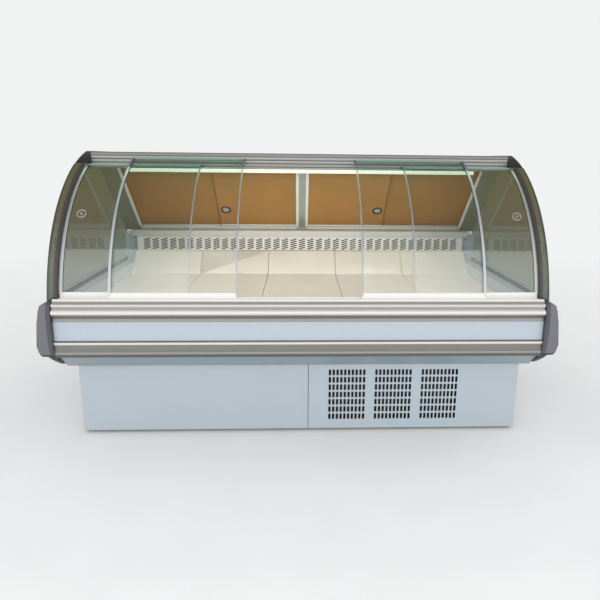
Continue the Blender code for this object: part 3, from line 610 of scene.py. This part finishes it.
def end_mouldings():
    """Bulging end mouldings: the side outline carried outwards, cut off lower and higher at each step."""
    side_line = [
        (0.0130, 0.6085), (-0.0060, 0.6035), (-0.0140, 0.5880), (-0.0190, 0.5500),
        (-0.0215, 0.4980), (-0.0190, 0.4400), (-0.0100, 0.3980), (0.0250, 0.3560), (0.0800, 0.3210),
        (0.1400, 0.3115), (0.3500, 0.3112), (0.7000, 0.3112), (1.0000, 0.3115), (1.0300, 0.3260),
        (1.0445, 0.3620), (1.0445, 0.4500), (1.0445, 0.5880), (1.0300, 0.6070), (0.9900, 0.6088),
        (0.5000, 0.6088),
    ]
    line = rounded(side_line, 0.020)
    # (X, highest point, lowest point, how far the front and the back are drawn in)
    steps = (
        (0.9705, 0.6088, 0.3112, 0.0), (0.9862, 0.6088, 0.3112, 0.0), (0.9890, 0.6086, 0.3480, 0.0),
        (0.9960, 0.6040, 0.3640, 0.0), (1.0060, 0.5974, 0.3792, 0.0),
        (1.0105, 0.5944, 0.3798, 0.0004), (1.0160, 0.5728, 0.3808, 0.0012),
        (1.0220, 0.5340, 0.3822, 0.0022), (1.0260, 0.4940, 0.3834, 0.0030),
        (1.0300, 0.4545, 0.3868, 0.0042), (1.0328, 0.4270, 0.3968, 0.0060),
    )
    for hand, side in (("left", -1), ("right", 1)):
        shape = bmesh.new()
        rings = []
        for x, top, foot, drawn in steps:
            ring = []
            for d, z in line:
                inward = drawn if d < 0.5 else -drawn
                ring.append(shape.verts.new((side * x, FRONT + d + inward, min(top, max(foot, z)))))
            rings.append(ring)
        loft(shape, rings)
        bmesh.ops.remove_doubles(shape, verts=shape.verts, dist=WELD)
        bmesh.ops.recalc_face_normals(shape, faces=shape.faces)
        # Material 1 is the darker front strip and painted shade on faces turned inwards; material 2, black,
        # is painted shade on faces that look down.
        for face in shape.faces:
            centre = face.calc_center_median()
            if abs(centre.x) < 0.9840 or face.normal.x * side < -0.5:
                face.material_index = 1
            if face.normal.z < -0.45:
                face.material_index = 2
        finishes = [GREY, GREY_STRIP_AND_SHADE, BLACK]
        new_object(f"moulding_fine_{hand}", shape, finishes, stands_for=[f"end_moulding_{hand}"])


# ---------------------------------------------------------------- panes
def panes():
    """Curved sheets, each with its two edge strips, foot bar and top glides."""
    for name in ("inner_left", "outer_left", "outer_right", "inner_right"):
        body = f"pane_{name}"
        outer_track = name.startswith("outer")
        proud = 0.0 if outer_track else -PANE_PITCH
        frame_low, frame_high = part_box(f"{body}_frame")
        glass_low, glass_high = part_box(f"{body}_glass")
        foot_z = glass_low.z + FOOT_LAP
        top_z = glass_high.z
        shape = bmesh.new()
        extrude(shape, arc_bar(proud, GLASS, foot_z, top_z), (glass_low.x, glass_high.x))
        for face in shape.faces:
            centre = face.calc_center_median()
            if len(face.verts) > 4 or centre.z > top_z - 0.004:
                face.material_index = 1
        new_object(f"{body}_sheet", shape, [PANE_GLASS, PANE_RIM], body=body, stands_for=[f"{body}_glass"])

        lap = 0.0012
        strip = arc_bar(proud + lap, GLASS + 2 * lap, foot_z - 0.010, top_z)
        wide_left = (glass_low.x - frame_low.x) > (frame_high.x - glass_high.x)
        strips = (
            ("a", (frame_low.x, glass_low.x), wide_left),
            ("b", (glass_high.x, frame_high.x), not wide_left),
        )
        for hand, xs, wide in strips:
            inset = 0.0 if wide else 0.0003
            xs = (xs[0] + (inset if hand == "b" else 0), xs[1] - (inset if hand == "a" else 0))
            shape = bmesh.new()
            extrude(shape, strip, xs)
            soften(shape, 1.2, 0.0007, 2)
            new_object(f"{body}_strip_{hand}", shape, EDGE if wide else EDGE_THIN, body=body)

        shape = bmesh.new()
        foot_d = (0.0200, 0.0298) if outer_track else (0.0332, 0.0430)
        block(shape, (frame_low.x, foot_d[0], frame_low.z), (frame_high.x, foot_d[1], foot_z - 0.001), 0.0018)
        glide_d = (0.4270, 0.4610) if outer_track else (0.4040, 0.4610)
        glide_z = (1.1432, 1.1498) if outer_track else (1.1188, 1.1244)
        glide, margin = 0.0044, 0.0003
        for at in (frame_low.x + margin, frame_high.x - margin - glide):
            block(shape, (at, glide_d[0], glide_z[0]), (at + glide, glide_d[1], glide_z[1]), 0.001, index=1)
        new_object(f"{body}_foot", shape, [HIGHLIGHT_ALUMINIUM, RUBBER], body=body, stands_for=[f"{body}_frame"])


def ends():
    """End glasses, and the grey posts with the canopy's black caps."""
    cap_foot = 1.128
    for hand, side in (("left", -1), ("right", 1)):
        node = f"end_glass_{hand}"
        xs = (low(node).x, high(node).x)
        front = arc_points(0.006, low(node).z, high(node).z)
        outline = front + [(0.6650, high(node).z), (0.9850, 0.7950), (0.9850, low(node).z)]
        shape = bmesh.new()
        extrude(shape, outline, xs)
        for face in shape.faces:
            if len(face.verts) == 4:
                face.material_index = 1
        new_object(f"end_sheet_{hand}", shape, [END_GLASS, END_RIM], stands_for=[node])

        crown = arc_points(0.0, cap_foot, 1.1825, 16)
        tail = [(0.7000, 1.1825), (0.7150, 1.1750), (0.7150, 1.1650), (0.6500, 1.1650), (0.6120, cap_foot)]
        cap_xs = sorted((side * 0.9505, side * 0.992))
        shape = bmesh.new()
        extrude(shape, crown + tail, cap_xs)
        soften(shape, 0.6, 0.0025, 3)
        post = arc_bar(0.003, 0.016, 0.6220, cap_foot + 0.001)
        extrude(shape, post, sorted((side * 0.9532, side * 0.9648)), index=1)
        new_object(f"end_post_fine_{hand}", shape, [BLACK, POST], stands_for=[f"end_frame_{hand}"])


def pane_pulls():
    """A round finger pull on each inner pane, near its outward edge: a ring and a cup on each face."""
    for hand, side in (("left", -1), ("right", 1)):
        body = f"pane_inner_{hand}"
        angle = arc_angle(-PANE_PITCH, PULL_Z)
        reach = ARC_R - PANE_PITCH - ARC_TAPER * angle
        out = Vector((0, -cos(angle), sin(angle)))
        up = Vector((0, sin(angle), cos(angle)))
        centre = Vector((side * PULL_X, FRONT + ARC_D, ARC_Z)) + out * reach
        shape = bmesh.new()
        ring = [
            (0.0155, 0.0001), (0.0156, 0.0008), (0.0166, 0.0015), (0.0180, 0.0015),
            (0.0189, 0.0008), (0.0190, 0.0001),
        ]
        dish = [(0.0, 0.0009), (0.0036, 0.0008), (0.0048, 0.0001)]
        for sign, depth in ((1, 0.0), (-1, GLASS)):
            at = lambda a, b, h: centre + Vector((a, 0, 0)) + up * b + out * (sign * h - depth)
            turned(shape, ring + ring[:1], 36, at, 0)
            turned(shape, dish + [(0.0, 0.0001)], 24, at, 1)
        bmesh.ops.remove_doubles(shape, verts=shape.verts, dist=WELD)
        new_object(f"pane_pull_{hand}", shape, [RING, CLEAR], body=body)


# ---------------------------------------------------------------- canopy
def canopy():
    """The canopy's fluted front rail."""
    node = "canopy_front_rail"
    left, right = low(node).x, high(node).x
    top, shelf, foot = high(node).z, 1.118, low(node).z
    lip_d, back = depths(node)
    face = 0.4620
    ribs = 4
    pitch = (top - shelf) / ribs
    outline = [(lip_d, foot), (lip_d, shelf)]
    for i in range(ribs):
        z = shelf + pitch * i
        outline += [(face + 0.0025, z + 0.0002), (face, z + 0.0020)]
        outline += [(face, z + pitch - 0.0030), (face + 0.0025, z + pitch - 0.0010)]
    outline += [(back, top), (back, foot)]
    # Painted light across the flutes: painted shade in each groove, painted highlights on the flute faces,
    # painted shade under the top edge.
    bands = [(0.0, 0.80), (0.0070, 0.85)]
    for i in range(ribs):
        z = shelf - foot + pitch * i
        bands += [(z + 0.0008, 0.42), (z + 0.0030, 0.90), (z + pitch - 0.0040, 1.0)]
    bands[-1] = (top - foot - 0.0045, 0.45)
    look = banded("canopy_aluminium", (0.43, 0.425, 0.41), 0.36, bands, node)
    profile("canopy_rail_fine", outline, (left, right), look, 0.0012, stands_for=[node])


# ---------------------------------------------------------------- rear frame and doors
LEAN_D, LEAN_Z, LEAN = 0.950, 0.781, radians(43.3)
KNOB_N, KNOB_S = 0.0275, 0.2225


def leaning(x, n, s):
    """A point in the rear frame: n out of it, backwards, and s up its slope."""
    return Vector((x, FRONT + LEAN_D + n * cos(LEAN) - s * sin(LEAN), LEAN_Z + n * sin(LEAN) + s * cos(LEAN)))


def rear_frame():
    """Jambs and mullion with their light trims, and a strip along the sill."""
    rise, deep = 0.445, 0.045
    inside, outside = 0.902, 0.9785
    mullion, trim = 0.0185, 0.014
    trim_near, trim_far = 0.0006, 0.0060
    for hand, side in (("left", -1), ("right", 1)):
        shape = bmesh.new()
        xs = sorted((side * inside, side * outside))
        block(shape, (xs[0], 0.0, -0.030), (xs[1], deep, rise + 0.030), 0.0015, leaning, 0)
        xs = sorted((side * (inside - 0.0002), side * (inside - trim)))
        block(shape, (xs[0], trim_near, 0.001), (xs[1], trim_far, rise - 0.001), 0.0012, leaning, 1)
        new_object(f"jamb_fine_{hand}", shape, [JAMB, WHITE], stands_for=[f"rear_jamb_{hand}"])
    shape = bmesh.new()
    block(shape, (-mullion, 0.0, 0.0004), (mullion, deep, rise - 0.0004), 0.0015, leaning, 0)
    for side in (-1, 1):
        xs = sorted((side * (mullion + 0.0002), side * (mullion + trim)))
        block(shape, (xs[0], trim_near, 0.001), (xs[1], trim_far, rise - 0.001), 0.0012, leaning, 1)
    new_object("mullion_fine", shape, [MULLION, WHITE], stands_for=["rear_mullion"])
    shape = bmesh.new()
    for side in (-1, 1):
        xs = sorted((side * (mullion + trim + 0.0005), side * (inside - trim - 0.0005)))
        block(shape, (xs[0], -0.0012, -0.0150), (xs[1], -0.0002, -0.0002), 0.0003, leaning, 0)
    new_object("rear_sill_strip", shape, WHITE)


def doors():
    """Rails along the inner doors' feet and edges, and the round finger pulls."""
    for hand, side in (("left", -1), ("right", 1)):
        body = f"door_inner_{hand}"
        door_low, door_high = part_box(f"rear_door_inner_{hand}")
        shape = bmesh.new()
        inset = 0.001
        lows, highs = (door_low.x + inset, 0.0066, 0.0015), (door_high.x - inset, 0.0082, 0.0135)
        block(shape, lows, highs, 0.0004, leaning)
        new_object(f"door_rail_{hand}", shape, WHITE, body=body)
        edge_x = door_high.x if side > 0 else door_low.x
        shape = bmesh.new()
        xs = sorted((edge_x + side * 0.0002, edge_x + side * 0.0016))
        block(shape, (xs[0], 0.0086, 0.002), (xs[1], 0.0134, 0.443), 0.0004, leaning)
        new_object(f"door_edge_{hand}", shape, EDGE_DOOR, body=body)

        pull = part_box(f"pull_inner_{hand}")
        centre = (pull[0] + pull[1]) / 2
        s = (centre.z - LEAN_Z) * cos(LEAN) - (centre.y - FRONT - LEAN_D) * sin(LEAN)
        face = 0.0135
        shape = bmesh.new()
        ring = [
            (0.0178, 0.0040), (0.0186, 0.0076), (0.0200, 0.0084), (0.0255, 0.0082),
            (0.0270, 0.0070), (0.0274, 0.0054), (0.0222, 0.0053), (0.0222, 0.0003), (0.0, 0.0003),
        ]
        cup = [(0.0, 0.0036), (0.0050, 0.0030), (0.0130, 0.0022), (0.0178, 0.0040)]
        at = lambda a, b, h: leaning(centre.x + a, face - h, s + b)
        turned(shape, cup, 40, at, 1)
        turned(shape, ring, 40, at, 0)
        bmesh.ops.remove_doubles(shape, verts=shape.verts, dist=WELD)
        new_object(f"pull_fine_{hand}", shape, [PULL, PULL_CUP], body=body, stands_for=[f"pull_inner_{hand}"])


# ---------------------------------------------------------------- louvre, grille and base
def stadium(x, z, half_width, half_height, radius, steps=3):
    """A small upright slot with round corners, as a loop of (x, z)."""
    corners = [(x + half_width, z + half_height), (x - half_width, z + half_height),
               (x - half_width, z - half_height), (x + half_width, z - half_height)]
    return rounded(corners, radius, steps)


def louvre():
    """Staggered wedge slots in pairs, with a dark sheet behind them as painted shade."""
    lo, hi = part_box("air_grille")
    columns, pitch, rows = 37, 0.0475, 5
    rise = (hi.z - lo.z - 0.010) / (rows + 0.5)
    holes = []
    for column in range(columns):
        x = (column - (columns - 1) / 2) * pitch
        for row in range(rows):
            for side, lift in ((-1, 0.25), (1, 0.75)):
                z = lo.z + 0.005 + (row + lift) * rise
                start, end = x + side * 0.0006, x + side * 0.0192
                wedge = [(start, z - 0.0051), (start, z + 0.0051), (end, z + 0.0036), (end, z - 0.0016)]
                holes.append(rounded(wedge[::side], 0.0012, 2))
    place = Vector((0, (lo.y + hi.y) / 2, 0))
    shape = bmesh.new()
    # Painted shade: a dark sheet just behind the slots.
    behind = hi.y - FRONT + 0.0015
    block(shape, (lo.x + 0.004, behind, lo.z + 0.003), (hi.x - 0.004, behind + 0.0010, hi.z - 0.003), 0.0003)
    new_object("louvre_shade_sheet", shape, LOUVRE_SHADE_SHEET)
    outer = [(lo.x, lo.z), (hi.x, lo.z), (hi.x, hi.z), (lo.x, hi.z)]
    perforated("louvre_fine", outer, holes, hi.y - lo.y, place, LOUVRE, ["air_grille"])


def grille():
    """Three blocks of upright slots in the base's right-hand front panel."""
    lo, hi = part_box("base_grille_panel")
    blocks, columns, rows = (0.112, 0.311, 0.511), 10, 7
    pitch_x, pitch_z, width, height, foot = 0.0163, 0.0338, 0.0104, 0.0262, 0.054
    holes = []
    for start in blocks:
        for column in range(columns):
            for row in range(rows):
                x = start + column * pitch_x + width / 2
                z = foot + row * pitch_z + height / 2
                holes.append(stadium(x, z, width / 2, height / 2, 0.0036))
    place = Vector((0, (lo.y + hi.y) / 2, 0))
    outer = rounded([(lo.x, lo.z), (hi.x, lo.z), (hi.x, hi.z), (lo.x, hi.z)], 0.001)
    perforated("grille_fine", outer, holes, hi.y - lo.y, place, PAINT, ["base_grille_panel"])


def screws():
    """Button heads, near the corners of the base's front panels."""
    shape = bmesh.new()
    places = []
    for panel in ("base_front_panel", "base_grille_panel"):
        lo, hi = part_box(panel)
        for x in (lo.x + 0.016, hi.x - 0.016):
            places.append((x, lo.y, lo.z + 0.014))
    for x, y, z in places:
        head = [(0.0, 0.0019), (0.0030, 0.0017), (0.0046, 0.0009), (0.0050, 0.0), (0.0, 0.0)]
        turned(shape, head, 16, lambda a, b, h, x=x, y=y, z=z: Vector((x + a, y - 0.0002 - h, z + b)))
    new_object("panel_screws", shape, ZINC)


def rear_details():
    """At the back: the outer doors' knobs, the display's window and the cable gland."""
    for hand, side in (("left", -1), ("right", 1)):
        door_low, door_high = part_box(f"rear_door_outer_{hand}")
        x = (door_high.x if side > 0 else door_low.x) - side * 0.040
        shape = bmesh.new()
        knob = [
            (0.0, 0.0136), (0.0100, 0.0136), (0.0110, 0.0131), (0.0140, 0.0131), (0.0160, 0.0122),
            (0.0169, 0.0106), (0.0169, 0.0022), (0.0185, 0.0012), (0.0, 0.0012),
        ]
        turned(shape, knob, 36, lambda a, b, h, x=x: leaning(x + a, KNOB_N + h, KNOB_S + b))
        new_object(f"door_knob_{hand}", shape, ZINC, body=f"door_outer_{hand}")
    shape = bmesh.new()
    block(shape, (0.5075, 1.0255, 0.5385), (0.5795, 1.0268, 0.5695), 0.0006)
    new_object("display_window", shape, DISPLAY)
    shape = bmesh.new()
    gland = [
        (0.0, 0.0305), (0.0060, 0.0305), (0.0074, 0.0300), (0.0094, 0.0242), (0.0114, 0.0104),
        (0.0150, 0.0090), (0.0165, 0.0080), (0.0165, 0.0012), (0.0, 0.0012),
    ]
    foot = Vector((0.860, FRONT + 0.9545, 0.060))
    turned(shape, gland, 24, lambda a, b, h: foot + Vector((a, h, b)))
    new_object("gland_fine", shape, RUBBER)


# ---------------------------------------------------------------- stage, lights and camera
WALL = (0.88, 0.885, 0.89)
FADE_START, FADE_END = 1.6, 5.5
FLOOR_HALF = 14.0


def pale_floor():
    """Matt floor that fades, away from the cabinet, into the colour of the studio's wall."""
    tree = finish("pale_floor", (0.90, 0.90, 0.90), 0.75, 0.0, 0.01, 5.0)
    away = tree.add("ShaderNodeVectorMath", operation="LENGTH")
    tree.link(tree.coordinates, away.inputs[0])
    distance = tree.spread(away.outputs["Value"], FADE_START, FADE_END, 0.0, 1.0)
    share = tree.ramp(distance, [(0.0, (0, 0, 0)), (1.0, (1, 1, 1))], "EASE")
    wall = tree.add("ShaderNodeEmission")
    wall.inputs["Color"].default_value = (*WALL, 1)
    blend = tree.add("ShaderNodeMixShader")
    tree.link(share, blend.inputs[0])
    tree.link(tree.shader.outputs[0], blend.inputs[1])
    tree.link(wall.outputs[0], blend.inputs[2])
    tree.link(blend.outputs[0], tree.output.inputs["Surface"])
    return tree.material


def stage():
    """The studio: a floor, and a world that is pale to the camera and dark above in reflections."""
    shape = bmesh.new()
    bmesh.ops.create_grid(shape, x_segments=1, y_segments=1, size=FLOOR_HALF)
    data = bpy.data.meshes.new("studio_floor")
    shape.to_mesh(data)
    shape.free()
    floor = bpy.data.objects.new("studio_floor", data)
    bpy.context.scene.collection.objects.link(floor)
    data.materials.append(pale_floor())

    world = bpy.data.worlds.new("studio")
    world.use_nodes = True
    nodes, links = world.node_tree.nodes, world.node_tree.links
    split = nodes.new("ShaderNodeSeparateXYZ")
    links.new(nodes.new("ShaderNodeTexCoord").outputs["Generated"], split.inputs["Vector"])
    sky = nodes.new("ShaderNodeValToRGB")
    stops = [
        (0.0, (0.86, 0.87, 0.88)), (0.30, (0.86, 0.87, 0.88)), (0.62, (0.17, 0.175, 0.18)),
        (1.0, (0.12, 0.125, 0.13)),
    ]
    fill_ramp(sky, stops)
    links.new(split.outputs["Z"], sky.inputs["Fac"])
    seen = nodes.new("ShaderNodeMix")
    seen.data_type = "RGBA"
    seen.inputs[6].default_value = (*WALL, 1)
    links.new(nodes.new("ShaderNodeLightPath").outputs["Is Glossy Ray"], seen.inputs["Factor"])
    links.new(sky.outputs["Color"], seen.inputs[7])
    links.new(seen.outputs[2], nodes["Background"].inputs["Color"])
    bpy.context.scene.world = world
    bpy.context.scene.view_settings.view_transform = "Standard"


def area_light(name, place, aim, size, power, colour=(1, 1, 1)):
    data = bpy.data.lights.new(name, "AREA")
    data.shape = "RECTANGLE"
    data.size, data.size_y = size
    data.energy = power
    data.color = colour
    light = bpy.data.objects.new(name, data)
    light.location = place
    light.rotation_euler = (Vector(aim) - Vector(place)).to_track_quat("-Z", "Y").to_euler()
    bpy.context.scene.collection.objects.link(light)
    return light


def lights():
    """A wide soft light in front, and the lamp's light on the deck."""
    place, aim = (0.0, FRONT - 6.0, 3.5), (0, FRONT, 0.9)
    key = area_light("soft_key", place, aim, size=(8.5, 4.0), power=150)
    key.visible_camera = False
    lamp_y = (low("lamp_tube").y + high("lamp_tube").y) / 2
    glow_z = low("lamp_tube").z - 0.006
    place, aim = (0, lamp_y, glow_z), (0, lamp_y - 0.02, 0)
    lamp = area_light("display_lamp", place, aim, size=(1.60, 0.03), power=1.95, colour=(0.97, 1.0, 0.95))
    lamp.visible_camera = False


def camera():
    """The photograph's viewpoint, as fitted to the cabinet's edges."""
    yaw, pitch, roll = radians(2.37), radians(12.15), radians(-0.63)
    data = bpy.data.cameras.new("camera")
    data.sensor_width = 36.0
    data.lens = 31.2
    data.shift_x, data.shift_y = -0.034, -0.0467
    seen = bpy.data.objects.new("camera", data)
    turn = Matrix.Rotation(-yaw, 4, "Z") @ Matrix.Rotation(pi / 2 - pitch, 4, "X")
    turn = turn @ Matrix.Rotation(-roll, 4, "Z")
    place = Vector((-0.014, FRONT - 1.969, 1.153))
    seen.matrix_world = Matrix.Translation(place) @ turn
    bpy.context.scene.collection.objects.link(seen)
    bpy.context.scene.camera = seen


dress_cad()
bumper()
end_mouldings()
panes()
ends()
pane_pulls()
canopy()
rear_frame()
doors()
louvre()
grille()
screws()
rear_details()
stage()
lights()
camera()
